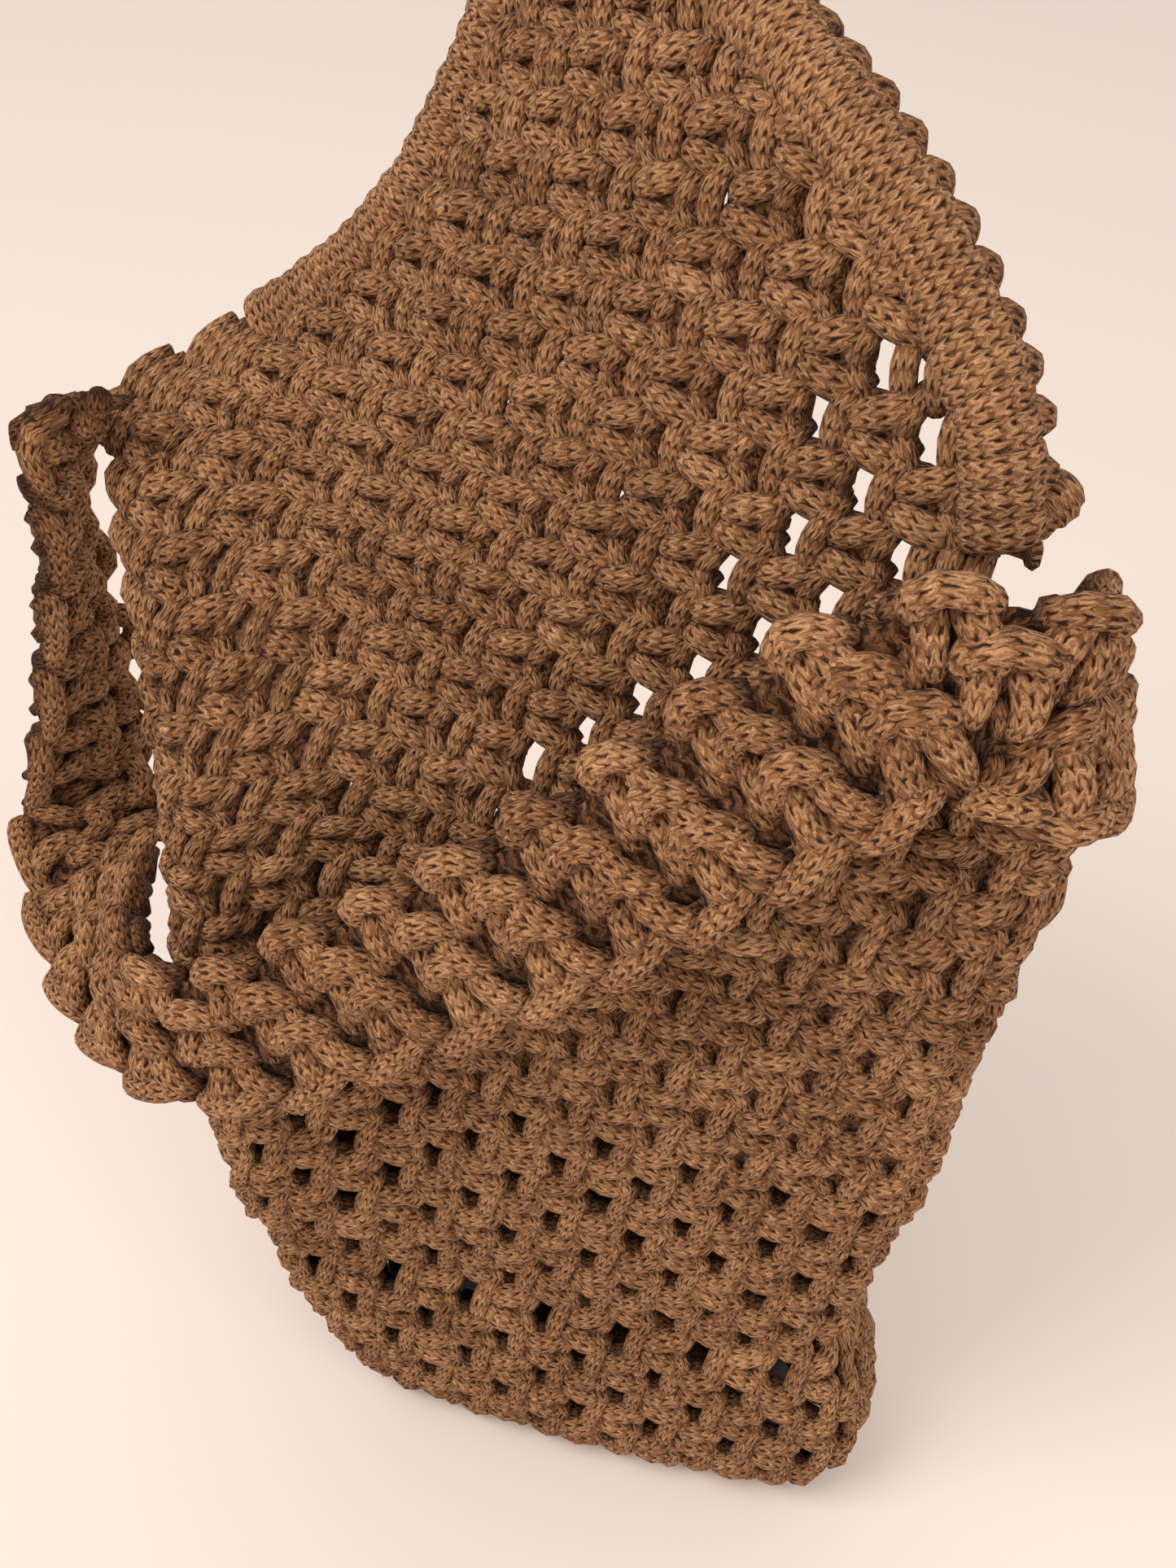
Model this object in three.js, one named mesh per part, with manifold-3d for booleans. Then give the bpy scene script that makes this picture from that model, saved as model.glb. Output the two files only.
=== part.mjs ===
// Macrame shoulder bag: a knotted pouch whose back wall carries on into a raised flap, with a
// cord-wound edge round the flap and a knotted strap looped across the back wall.
// Millimetres, +Z up, origin on the floor under the middle of the base; the back wall faces -Y.
import * as THREE from 'three';
import { mergeVertices } from 'three/addons/utils/BufferGeometryUtils.js';
import Module from 'manifold-3d';

const wasm = await Module();
wasm.setup();

// Driving sizes
const bodyWidth = 170;      // between the side folds at the mouth
const bodyHeight = 185;     // floor to the mouth
const bodyDepth = 60;       // back wall to front wall at its fullest
const flapLength = 215;     // from the height of the mouth to the tip of the flap
const knotPitch = 20;       // between neighbouring square knots in a row
const wall = 8;             // thickness of the knotting
const slitWidth = 3.4;      // gap between two knots of a row
const slitHeight = 7.5;
const slitOffset = 3.2;     // from the left side of a knot to the middle of the slit beside it
const gap = 0.35;           // between pieces that touch
const hookLength = 26;      // length of wall that rounds each side fold
const rimRadius = 6.5;       // cord-wound edge of the flap
const rimEndRadius = 5.5;   // knot in the end of its core cord
const strapWidth = 36;
const strapThickness = 8;

// Knot rows: the mouth is at row 18, the strap starts at row 26 and the tip of the flap is row 39
const rowPhase = 0.6;
const mouthRow = 18;
const cornerRow = 26;
const tipRow = 39;

// Sections of the back wall, from the floor up to the mouth. Lengths are shares: side, left and right
// of bodyWidth, out and deep of bodyDepth, up of bodyHeight. Angles in degrees. side and out place the
// middle line; turn is the way the wall faces and bow its bend; left and right reach to the side folds;
// curl rolls the left side forward before its fold; deep is how far the front wall stands off.
const bodyColumns = ['row', 'side', 'out', 'up', 'turn', 'bow', 'left', 'right', 'curl', 'deep'];
const bodyTable = [
  [0.0, -0.27, -0.41, 0.000, 6, 24, -0.12, 0.655, 0, 0.44],
  [0.6, -0.27, -0.50, 0.022, 6, 24, -0.15, 0.705, 0, 0.56],
  [1.6, -0.28, -0.56, 0.075, 6, 22, -0.19, 0.745, 0, 0.64],
  [3.2, -0.28, -0.56, 0.165, 5, 20, -0.235, 0.76, 4, 0.68],
  [5.0, -0.29, -0.51, 0.265, 5, 18, -0.275, 0.74, 8, 0.66],
  [6.2, -0.29, -0.41, 0.325, 5, 16, -0.29, 0.70, 12, 0.60],
  [7.6, -0.29, -0.45, 0.405, 5, 16, -0.31, 0.71, 16, 0.60],
  [10.5, -0.29, -0.41, 0.570, 6, 15, -0.335, 0.73, 24, 0.58],
  [14.0, -0.285, -0.36, 0.770, 9, 16, -0.375, 0.745, 30, 0.48],
  [18.0, -0.28, -0.22, 0.990, 14, 17, -0.41, 0.75, 34, 0.36],
];
// Heading that the back wall reaches at its two side folds
const foldLeft = 88;
const foldRight = 86;

// Sections above the mouth, row 18, up to the tip of the flap. back and lift are shares of flapLength,
// rise tilts a row up to the right, and hookL and hookR are the headings at its two ends.
const flapColumns = ['row', 'side', 'back', 'lift', 'turn', 'bow', 'rise', 'left', 'right', 'hookL', 'hookR',
  'curl'];
const flapTable = [
  [20.0, -0.270, 0.03, 0.072, 17, 16, 1, -0.445, 0.75, 78, 72, 34],
  [22.0, -0.258, 0.065, 0.172, 19, 15, 3, -0.50, 0.74, 62, 50, 30],
  [24.0, -0.250, 0.095, 0.258, 21, 15, 4, -0.575, 0.71, 46, 30, 22],
  [26.0, -0.235, 0.127, 0.338, 23, 15, 6, -0.645, 0.57, 36, -12, 12],
  [28.0, -0.218, 0.160, 0.418, 25, 15, 8, -0.52, 0.53, 34, -16, 0],
  [30.0, -0.210, 0.200, 0.500, 28, 17, 10, -0.385, 0.50, 36, -18, 0],
  [32.0, -0.206, 0.240, 0.582, 30, 19, 12, -0.295, 0.41, 38, -20, 0],
  [34.0, -0.206, 0.277, 0.665, 34, 21, 14, -0.25, 0.295, 42, -22, 0],
  [36.0, -0.206, 0.315, 0.748, 38, 22, 15, -0.205, 0.15, 44, -26, 0],
  [38.0, -0.206, 0.356, 0.830, 41, 22, 16, -0.155, 0.03, 46, -30, 0],
  [39.0, -0.206, 0.377, 0.870, 42, 22, 17, -0.15, -0.01, 46, -32, 0],
];

const named = (columns, values) => Object.fromEntries(columns.map((name, n) => [name, values[n]]));
const bodySections = bodyTable.map((values) => named(bodyColumns, values));
const flapSections = flapTable.map((values) => named(flapColumns, values));

// One list of sections in millimetres from the two tables
const mouth = bodySections[bodySections.length - 1];
const across = (c) => ({ x: c.side * bodyWidth, left: c.left * bodyWidth, right: c.right * bodyWidth });
const sections = [
  ...bodySections.map((c) => ({
    row: c.row, ...across(c), y: c.out * bodyDepth, z: c.up * bodyHeight, turn: c.turn, bow: c.bow,
    rise: 0, hookL: foldLeft, hookR: foldRight, curl: c.curl, deep: c.deep * bodyDepth,
  })),
  ...flapSections.map((c) => ({
    row: c.row, ...across(c), y: mouth.out * bodyDepth + c.back * flapLength,
    z: mouth.up * bodyHeight + c.lift * flapLength, turn: c.turn, bow: c.bow, rise: c.rise,
    hookL: c.hookL, hookR: c.hookR, curl: c.curl, deep: 0,
  })),
];
const keys = Object.keys(sections[0]);

// A section at any row, smooth through the tables
function sectionAt(row) {
  const last = sections.length - 1;
  let k = 0;
  while (k < last - 1 && row > sections[k + 1].row) k++;
  const at = (n) => sections[THREE.MathUtils.clamp(n, 0, last)];
  const [a, b, c, d] = [at(k - 1), at(k), at(k + 1), at(k + 2)];
  const span = c.row - b.row;
  const t = THREE.MathUtils.clamp((row - b.row) / span, 0, 1);
  const out = {};
  for (const key of keys) {
    const m0 = k === 0 ? (c[key] - b[key]) / span : (c[key] - a[key]) / (c.row - a.row);
    const m1 = k === last - 1 ? (c[key] - b[key]) / span : (d[key] - b[key]) / (d.row - b.row);
    const t2 = t * t;
    const t3 = t2 * t;
    out[key] = (2 * t3 - 3 * t2 + 1) * b[key] + (t3 - 2 * t2 + t) * m0 * span
      + (3 * t2 - 2 * t3) * c[key] + (t3 - t2) * m1 * span;
  }
  return out;
}

const smooth = (t) => { const c = THREE.MathUtils.clamp(t, 0, 1); return c * c * (3 - 2 * c); };

// Heading of the wall, in degrees, at s millimetres to the right of the section's middle line
function headingAt(c, s) {
  const bowSpan = bodyWidth * 1.2;
  const plain = c.turn - c.bow * s / bowSpan;
  const toRight = smooth((s - (c.right - hookLength)) / hookLength);
  const toLeft = smooth(((c.left + hookLength) - s) / hookLength);
  const rolled = smooth((c.left + hookLength * 2.4 - s) / hookLength) * (1 - toLeft);
  return plain * (1 - toRight) * (1 - toLeft) - c.hookR * toRight + c.hookL * toLeft - c.curl * 1.4 * rolled;
}

// Points along one row, from its left end to its right end, at equal shares of its length
function rowPoints(row, shares) {
  const c = sectionAt(row);
  const step = 1;
  const climb = THREE.MathUtils.degToRad(c.rise);
  const walk = (reach) => {
    const count = Math.max(1, Math.ceil(Math.abs(reach) / step));
    const d = reach / count;
    const points = [new THREE.Vector3(c.x, c.y, c.z)];
    for (let n = 0; n < count; n++) {
      const h = THREE.MathUtils.degToRad(headingAt(c, (n + 0.5) * d));
      points.push(points[n].clone().add(new THREE.Vector3(
        d * Math.cos(h) * Math.cos(climb), -d * Math.sin(h) * Math.cos(climb), d * Math.sin(climb))));
    }
    return { points, d };
  };
  const rightSide = walk(Math.max(c.right, step));
  const leftSide = walk(Math.min(c.left, -step));
  return shares.map((u) => {
    const s = THREE.MathUtils.lerp(c.left, c.right, u);
    const side = s > 0 ? rightSide : leftSide;
    const f = s / side.d;
    const n = Math.min(Math.floor(f), side.points.length - 2);
    return side.points[n].clone().lerp(side.points[n + 1], f - n);
  });
}

// Way out of the wall at each point of a grid, from the sections just above and below each row
function wallNormals(rows, shares) {
  return rows.map((row) => {
    const near = shares.map((u) => [Math.max(u - 0.01, 0), Math.min(u + 0.01, 1)]).flat();
    const beside = rowPoints(row, near);
    const above = rowPoints(row + 0.25, shares);
    const below = rowPoints(Math.max(row - 0.25, 0), shares);
    return shares.map((_, n) => {
      const along = above[n].clone().sub(below[n]);
      return beside[2 * n + 1].clone().sub(beside[2 * n]).cross(along).normalize();
    });
  });
}

// A closed wall of even thickness behind a grid of outer points, grid[row][column]
function thickSheet(grid, thickness, normals = null) {
  const rows = grid.length;
  const columns = grid[0].length;
  const at = (r, c) => grid[THREE.MathUtils.clamp(r, 0, rows - 1)][THREE.MathUtils.clamp(c, 0, columns - 1)];
  const positions = [];
  const normalAt = (r, c) => {
    if (normals) return normals[r][c];
    const across = at(r, c + 1).clone().sub(at(r, c - 1));
    const along = at(r + 1, c).clone().sub(at(r - 1, c));
    return across.cross(along).normalize();
  };
  for (let r = 0; r < rows; r++) for (let c = 0; c < columns; c++) positions.push(...at(r, c).toArray());
  for (let r = 0; r < rows; r++) {
    for (let c = 0; c < columns; c++) {
      positions.push(...at(r, c).clone().addScaledVector(normalAt(r, c), -thickness).toArray());
    }
  }
  const index = [];
  const quad = (a, b, c, d) => index.push(a, b, c, a, c, d);
  const o = (r, c) => r * columns + c;
  const n = (r, c) => rows * columns + r * columns + c;
  for (let r = 0; r < rows - 1; r++) {
    for (let c = 0; c < columns - 1; c++) {
      quad(o(r, c), o(r, c + 1), o(r + 1, c + 1), o(r + 1, c));
      quad(n(r, c), n(r + 1, c), n(r + 1, c + 1), n(r, c + 1));
    }
  }
  for (let c = 0; c < columns - 1; c++) {
    quad(o(0, c), n(0, c), n(0, c + 1), o(0, c + 1));
    quad(o(rows - 1, c), o(rows - 1, c + 1), n(rows - 1, c + 1), n(rows - 1, c));
  }
  for (let r = 0; r < rows - 1; r++) {
    quad(o(r, 0), o(r + 1, 0), n(r + 1, 0), n(r, 0));
    quad(o(r, columns - 1), n(r, columns - 1), n(r + 1, columns - 1), o(r + 1, columns - 1));
  }
  const geometry = new THREE.BufferGeometry();
  geometry.setAttribute('position', new THREE.Float32BufferAttribute(positions, 3));
  geometry.setIndex(index);
  return geometry;
}

function toManifold(geometry) {
  const bare = geometry.clone();
  bare.deleteAttribute('normal');
  bare.deleteAttribute('uv');
  const merged = mergeVertices(bare, 1e-4);
  return new wasm.Manifold(new wasm.Mesh({
    numProp: 3,
    vertProperties: new Float32Array(merged.attributes.position.array),
    triVerts: new Uint32Array(merged.index.array),
  }));
}

function toGeometry(solid) {
  const mesh = solid.getMesh();
  const geometry = new THREE.BufferGeometry();
  geometry.setAttribute('position', new THREE.Float32BufferAttribute(mesh.vertProperties, 3));
  geometry.setIndex(new THREE.Uint32BufferAttribute(mesh.triVerts, 1));
  return geometry;
}

// Shares across a row: close together at the two side folds, wider between
const foldShares = [0, 0.035, 0.07, 0.105, 0.14, 0.18, 0.23, 0.29, 0.36, 0.44, 0.52, 0.60, 0.68, 0.75, 0.81,
  0.86, 0.90, 0.935, 0.97, 1];
const even = (count) => Array.from({ length: count + 1 }, (_, n) => n / count);

function wallGrid(rows, shares) {
  return rows.map((row) => rowPoints(row, shares));
}

// Place and facing of a knot-lattice point s millimetres right of the middle line
function frameAt(row, s) {
  const c = sectionAt(row);
  const share = (q, v) => THREE.MathUtils.clamp((v - q.left) / (q.right - q.left), 0, 1);
  const near = 1.5;
  const [left, mid, right] = rowPoints(row, [share(c, s - near), share(c, s), share(c, s + near)]);
  const upper = sectionAt(row + 0.3);
  const lower = sectionAt(row - 0.3);
  const [above] = rowPoints(row + 0.3, [share(upper, s)]);
  const [below] = rowPoints(row - 0.3, [share(lower, s)]);
  const across = right.clone().sub(left).normalize();
  const out = across.clone().cross(above.clone().sub(below)).normalize();
  const along = out.clone().cross(across).normalize();
  return { place: mid, across, along, out };
}

// The see-through slits between knots, cut through one wall. A row of knots lies rowPhase above each
// whole row, and every other row is set half a knot along; each slit is just left of a knot.
function cutSlits(solid, firstRow, lastRow, edgeMargin) {
  let result = solid;
  for (let n = firstRow; n <= lastRow; n++) {
    const row = n + rowPhase;
    const c = sectionAt(row);
    const offset = (n % 2 ? 0 : knotPitch / 2) - slitOffset;
    const low = Math.max(sectionAt(row - 1).left, sectionAt(row + 1).left, c.left) + edgeMargin;
    const high = Math.min(sectionAt(row - 1).right, sectionAt(row + 1).right, c.right) - edgeMargin;
    for (let s = Math.ceil((low - offset) / knotPitch) * knotPitch + offset; s <= high; s += knotPitch) {
      const f = frameAt(row, s);
      const cutter = new THREE.BoxGeometry(slitWidth, slitHeight, wall * 3);
      const basis = new THREE.Matrix4().makeBasis(f.across, f.along, f.out);
      basis.setPosition(f.place.clone().addScaledVector(f.out, -wall / 2));
      cutter.applyMatrix4(basis);
      result = result.subtract(toManifold(cutter));
    }
  }
  return result;
}

const knotColour = 0x8f6a4a;
const bag = new THREE.Group();
bag.name = 'macrame_bag';

function addPiece(name, geometry, color = knotColour) {
  const cord = new THREE.MeshStandardMaterial({ name: `${name}_cord`, color, roughness: 0.95, metalness: 0 });
  const piece = new THREE.Mesh(geometry, cord);
  piece.name = name;
  bag.add(piece);
  return piece;
}

// Back wall, floor to the strap corners
const backRows = [0, 0.6, 1.6, 3.2, 5.0, 6.2, 7.6, 10.5, 13, 15.5, 18, 20, 22, 24, cornerRow];
const backSheet = thickSheet(wallGrid(backRows, foldShares), wall, wallNormals(backRows, foldShares));
const backMargin = hookLength * 1.9;
addPiece('back_panel', toGeometry(cutSlits(toManifold(backSheet), mouthRow, cornerRow - 2, backMargin)));

// Flap, from the strap corners to its tip; its edge stops inside the wound rim
const rowGap = gap / 10;
const flapRows = [cornerRow + rowGap, 27, 28, 29, 30, 31, 32, 33, 34, 35, 36, 37, 38, tipRow];
const flapGrid = wallGrid(flapRows, foldShares);
const flapNormals = wallNormals(flapRows, foldShares);
const rimRightStart = 2;    // the wound rim stops two rows short of the strap corner on the right
const flapSheet = thickSheet(flapGrid, wall, flapNormals);
const flapSolid = cutSlits(toManifold(flapSheet), cornerRow, tipRow - 3, rimRadius * 2);

// Wound rim along the flap's edge, centred in the thickness of the wall
const inside = (r, c) => flapGrid[r][c].clone().addScaledVector(flapNormals[r][c], -wall / 2);
const rimLeftShare = 0.75;    // share of the first row height that the rim leaves free on the left
const lastRow = flapGrid.length - 1;
const lastColumn = foldShares.length - 1;
const rimPoints = [
  inside(0, 0).lerp(inside(1, 0), rimLeftShare),
  ...flapRows.slice(2, -2).map((_, r) => inside(r + 2, 0)),
  inside(lastRow, Math.round(lastColumn / 2)),
  ...flapRows.slice(rimRightStart, -2).map((_, r) => inside(r + rimRightStart, lastColumn)).reverse(),
];
const rimCurve = new THREE.CatmullRomCurve3(rimPoints, false, 'centripetal');

function tubeAlong(curve, radius, sides, steps) {
  const outline = new THREE.Shape(Array.from({ length: sides }, (_, n) => {
    const a = (n / sides) * Math.PI * 2;
    return new THREE.Vector2(radius * Math.cos(a), radius * Math.sin(a));
  }));
  return new THREE.ExtrudeGeometry(outline, { steps, extrudePath: curve, bevelEnabled: false });
}

const rimSteps = 44;
const rimSolid = toManifold(tubeAlong(rimCurve, rimRadius, 10, rimSteps));
const rimClearance = toManifold(tubeAlong(rimCurve, rimRadius + gap, 10, rimSteps));
// The trim leaves a sliver outside the rim; the flap is the largest body
const flapBodies = flapSolid.subtract(rimClearance).decompose();
flapBodies.sort((a, b) => b.volume() - a.volume());
addPiece('flap_panel', toGeometry(flapBodies[0]));
addPiece('flap_rim', toGeometry(rimSolid));

// Knot in the right end of the rim's core cord, behind the end of the winding
const rimFrame = frameAt(cornerRow + rimRightStart, sectionAt(cornerRow + rimRightStart).right);
const aside = rimFrame.across.clone().multiplyScalar(0.75).addScaledVector(rimFrame.out, -0.66);
const rimEnd = rimCurve.getPointAt(0.975).addScaledVector(aside, rimRadius + rimEndRadius + gap);
const rimKnot = new THREE.SphereGeometry(rimEndRadius, 10, 7);
rimKnot.translate(rimEnd.x, rimEnd.y, rimEnd.z);
addPiece('rim_end', toGeometry(toManifold(rimKnot)));

// Front wall on the far side: from fold to fold, with its depth from the section table
function frontPoints(row, shares) {
  const c = sectionAt(Math.min(row, mouthRow + 4));
  const depth = row > mouthRow ? sectionAt(mouthRow).deep : c.deep;
  const [a, b] = rowPoints(row, [1, 0]);
  const chord = b.clone().sub(a);
  const out = new THREE.Vector3(-chord.y, chord.x, 0).normalize();
  if (out.y < 0) out.negate();
  return shares.map((t) => {
    const swell = Math.pow(1 - Math.pow(Math.abs(2 * t - 1), 2.6), 1 / 2.6);
    const squeeze = t + 0.07 * Math.sin(2 * Math.PI * t) * -1;
    return a.clone().addScaledVector(chord, squeeze).addScaledVector(out, gap + depth * swell);
  });
}

const frontShares = [0, 0.012, 0.035, 0.075, 0.13, 0.21, 0.31, 0.42, 0.5, 0.58, 0.69, 0.79, 0.87, 0.925, 0.965,
  0.988, 1];
const frontRows = [0, 0.6, 1.6, 3.2, 5.0, 6.2, 7.6, 10.5, 13, 15.5, mouthRow];

// Its facing, which at the two side folds is that of the back wall, so that the edges meet squarely
function frontNormals() {
  const near = 0.004;
  return frontRows.map((row) => {
    const [right, left] = wallNormals([row], [1, 0])[0];
    const above = frontPoints(row + 0.25, frontShares);
    const below = frontPoints(Math.max(row - 0.25, 0), frontShares);
    return frontShares.map((t, n) => {
      if (n === 0) return right;
      if (n === frontShares.length - 1) return left;
      const [before, after] = frontPoints(row, [t - near, t + near]);
      return after.sub(before).cross(above[n].clone().sub(below[n])).normalize();
    });
  });
}
const frontGrid = frontRows.map((row) => frontPoints(row, frontShares));
addPiece('front_panel', thickSheet(frontGrid, wall, frontNormals()));

// Flat bottom inside the walls
const ring = [...rowPoints(0, foldShares), ...frontPoints(0, frontShares)];
const middle = ring.reduce((sum, p) => sum.add(p), new THREE.Vector3()).divideScalar(ring.length);
const inset = wall + 2.5;
const bottomOutline = new THREE.Shape(ring.map((p) => {
  const away = new THREE.Vector2(p.x - middle.x, p.y - middle.y);
  away.setLength(Math.max(away.length() - inset, 1));
  return new THREE.Vector2(middle.x + away.x, middle.y + away.y);
}));
addPiece('base_panel', new THREE.ExtrudeGeometry(bottomOutline, { depth: wall, bevelEnabled: false }));

// Strap: middle line and the way its width points, as shares of bodyWidth, bodyDepth and bodyHeight
const strapStations = [
  { x: -0.822, y: 0.83, z: 1.3, wx: -0.2, wy: 0.8, wz: -0.55 },
  { x: -0.872, y: 0.78, z: 1.29, wx: -0.07, wy: 0.9, wz: -0.4 },
  { x: -0.893, y: 0.74, z: 1.235, wx: -0.38, wy: 0.9, wz: -0.2 },
  { x: -0.877, y: 0.7, z: 1.147, wx: -0.38, wy: 0.9, wz: -0.19 },
  { x: -0.867, y: 0.66, z: 1.05, wx: -0.18, wy: 0.98, wz: -0.12 },
  { x: -0.868, y: 0.62, z: 0.92, wx: 0.11, wy: 0.98, wz: -0.15 },
  { x: -0.872, y: 0.52, z: 0.79, wx: 0.5, wy: 0.82, wz: -0.1 },
  { x: -0.835, y: 0.22, z: 0.715, wx: 0.62, wy: 0.55, wz: 0.4 },
  { x: -0.735, y: -0.28, z: 0.745, wx: 0.5, wy: 0.15, wz: 0.85 },
  { x: -0.605, y: -0.6, z: 0.795, wx: 0.1, wy: 0.1, wz: 0.97 },
  { x: -0.45, y: -0.65, z: 0.860, wx: -0.30, wy: 0.20, wz: 0.90 },
  { x: -0.30, y: -0.59, z: 0.970, wx: -0.48, wy: 0.20, wz: 0.82 },
  { x: -0.15, y: -0.57, z: 1.090, wx: -0.58, wy: 0.20, wz: 0.77 },
  { x: -0.01, y: -0.55, z: 1.225, wx: -0.65, wy: 0.25, wz: 0.69 },
  { x: 0.11, y: -0.54, z: 1.360, wx: -0.60, wy: 0.28, wz: 0.70 },
  { x: 0.21, y: -0.53, z: 1.460, wx: -0.42, wy: 0.25, wz: 0.85 },
  { x: 0.305, y: -0.50, z: 1.500, wx: -0.20, wy: 0.15, wz: 0.96 },
  { x: 0.38, y: -0.42, z: 1.470, wx: -0.28, wy: 0.10, wz: 0.95 },
  { x: 0.417, y: -0.185, z: 1.420, wx: -0.35, wy: 0.10, wz: 0.92 },
  { x: 0.43, y: 0.05, z: 1.385, wx: -0.35, wy: 0.15, wz: 0.92 },
  { x: 0.405, y: 0.23, z: 1.345, wx: -0.30, wy: 0.20, wz: 0.92 },
];

function ribbon(stations, width, thickness, steps) {
  const scale = new THREE.Vector3(bodyWidth, bodyDepth, bodyHeight);
  const middleLine = stations.map((c) => new THREE.Vector3(c.x, c.y, c.z).multiply(scale));
  const line = new THREE.CatmullRomCurve3(middleLine);
  const sideways = new THREE.CatmullRomCurve3(stations.map((c) => new THREE.Vector3(c.wx, c.wy, c.wz)));
  const grid = [];
  for (let n = 0; n <= steps; n++) {
    const t = n / steps;
    const tangent = line.getTangent(t);
    const across = sideways.getPoint(t).projectOnPlane(tangent).normalize();
    const face = across.clone().cross(tangent).normalize();
    const centre = line.getPoint(t).addScaledVector(face, thickness / 2);
    grid.push([-0.5, -0.17, 0.17, 0.5].map((q) => centre.clone().addScaledVector(across, q * width)));
  }
  return thickSheet(grid, thickness);
}
addPiece('shoulder_strap', ribbon(strapStations, strapWidth, strapThickness, 60), 0x96704f);

export default bag;
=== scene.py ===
import bpy
import bmesh
import math
import numpy as np
from mathutils import Matrix, Vector


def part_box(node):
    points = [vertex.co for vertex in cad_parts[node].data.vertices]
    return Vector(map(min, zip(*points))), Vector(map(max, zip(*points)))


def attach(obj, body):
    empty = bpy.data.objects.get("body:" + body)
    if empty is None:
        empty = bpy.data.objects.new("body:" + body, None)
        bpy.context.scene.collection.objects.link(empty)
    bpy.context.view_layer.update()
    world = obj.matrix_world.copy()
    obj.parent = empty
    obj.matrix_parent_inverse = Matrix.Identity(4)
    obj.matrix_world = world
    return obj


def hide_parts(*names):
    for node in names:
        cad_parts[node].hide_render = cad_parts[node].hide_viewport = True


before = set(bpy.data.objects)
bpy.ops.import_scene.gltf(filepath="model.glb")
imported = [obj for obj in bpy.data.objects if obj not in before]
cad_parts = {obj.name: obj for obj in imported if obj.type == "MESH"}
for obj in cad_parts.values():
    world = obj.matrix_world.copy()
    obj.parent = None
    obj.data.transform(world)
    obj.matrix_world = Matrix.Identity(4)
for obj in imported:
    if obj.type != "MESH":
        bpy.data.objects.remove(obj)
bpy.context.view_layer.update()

# camera at the photograph's angle, in metres
view = {
    "place": (0.0264, -0.2410, 0.4358),
    "right": (0.9712, 0.2313, 0.0566),
    "up": (-0.1979, 0.6518, 0.7321),
    "lens": 38.5,
    "longSide": 36,
    "clipStart": 0.01,
}


def makeCamera():
    camera = bpy.data.objects.new("camera", bpy.data.cameras.new("camera"))
    bpy.context.scene.collection.objects.link(camera)
    right = Vector(view["right"]).normalized()
    up = Vector(view["up"])
    up = (up - right * right.dot(up)).normalized()
    back = right.cross(up)
    turn = Matrix((right, up, back)).transposed()
    camera.rotation_mode = "QUATERNION"
    camera.rotation_quaternion = turn.to_quaternion()
    camera.location = view["place"]
    camera.data.sensor_width = view["longSide"]
    camera.data.lens = view["lens"]
    camera.data.clip_start = view["clipStart"]
    bpy.context.scene.camera = camera


makeCamera()
print("camera made")

# the bag's form, in millimetres and degrees: the same sections as the solids
bag = {
    "bodyWidth": 170.0,
    "bodyHeight": 185.0,
    "bodyDepth": 60.0,
    "flapLength": 215.0,
    "knotPitch": 20.0,
    "rowPitch": 10.3,
    "wall": 8.0,
    "hookLength": 26.0,
    "mouthRow": 18,
    "cornerRow": 26,
    "tipRow": 39,
    "rowPhase": 0.6,
    "foldLeft": 88,
    "foldRight": 86,
    "bowSpan": 1.2,     # width over which a row turns by its bow, as a share of bodyWidth
    "curlReach": 2.4,   # where the left side starts to roll, in hook lengths
    "curlTurn": 1.4,
    "frontPower": 2.6,  # how boxy the far wall's rounding is
    "frontSqueeze": 0.07,
    "frontGap": 0.3,
    "frontTuck": 0.15,  # slope with which the far wall ends behind the left fold
    "rowStep": 0.25,    # of the tables of points, in rows
    "knotStart": 2,     # room that a row's first knot keeps from the edge
    "knotEnd": 14.5,    # from a knot's start to where the next edge may be
    "wallReach": 150,
    "frontReach": 260,
}

# row, side, out, up, turn, bow, left, right, curl, deep
bodyTable = [
    [0.0, -0.27, -0.41, 0.000, 6, 24, -0.12, 0.655, 0, 0.44],
    [0.6, -0.27, -0.50, 0.022, 6, 24, -0.15, 0.705, 0, 0.56],
    [1.6, -0.28, -0.56, 0.075, 6, 22, -0.19, 0.745, 0, 0.64],
    [3.2, -0.28, -0.56, 0.165, 5, 20, -0.235, 0.76, 4, 0.68],
    [5.0, -0.29, -0.51, 0.265, 5, 18, -0.275, 0.74, 8, 0.66],
    [6.2, -0.29, -0.41, 0.325, 5, 16, -0.29, 0.70, 12, 0.60],
    [7.6, -0.29, -0.45, 0.405, 5, 16, -0.31, 0.71, 16, 0.60],
    [10.5, -0.29, -0.41, 0.570, 6, 15, -0.335, 0.73, 24, 0.58],
    [14.0, -0.285, -0.36, 0.770, 9, 16, -0.375, 0.745, 30, 0.48],
    [18.0, -0.28, -0.22, 0.990, 14, 17, -0.41, 0.75, 34, 0.36],
]
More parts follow.
